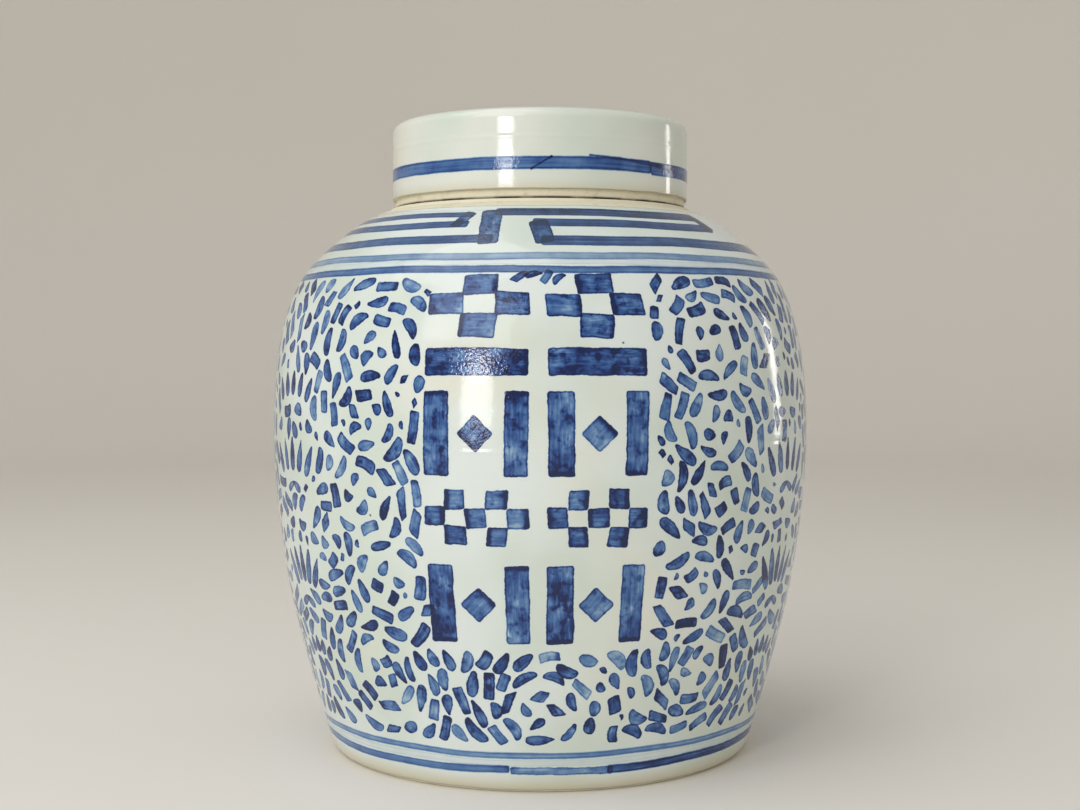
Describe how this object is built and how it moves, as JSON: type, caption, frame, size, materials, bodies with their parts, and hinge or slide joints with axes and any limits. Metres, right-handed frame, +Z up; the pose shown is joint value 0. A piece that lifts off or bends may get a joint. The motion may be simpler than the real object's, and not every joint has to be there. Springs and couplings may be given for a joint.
{
  "type": "ginger jar",
  "caption": "Round-shouldered porcelain jar with blue brush-painted decoration and a flat cap lid that lifts off its short neck.",
  "frame": {"origin": "centre of the foot, on the surface that the jar stands on", "axes": "+Z up along the axis of the jar, -Y towards the middle of one painted panel, +X to its right"},
  "size_m": [0.2, 0.2, 0.232],
  "materials": {
    "glaze": "glossy, slightly green-grey glaze over cobalt brush painting, bare biscuit clay at the rim, ledge and foot"
  },
  "bodies": {
    "jar": {"jar_body": "glaze"},
    "lid": {"lid": "glaze"}
  },
  "joints": [
    {"name": "lid_lift", "type": "slide", "parent": "jar", "child": "lid", "axis": [0, 0, 1], "range_m": [0, 0.12]}
  ]
}
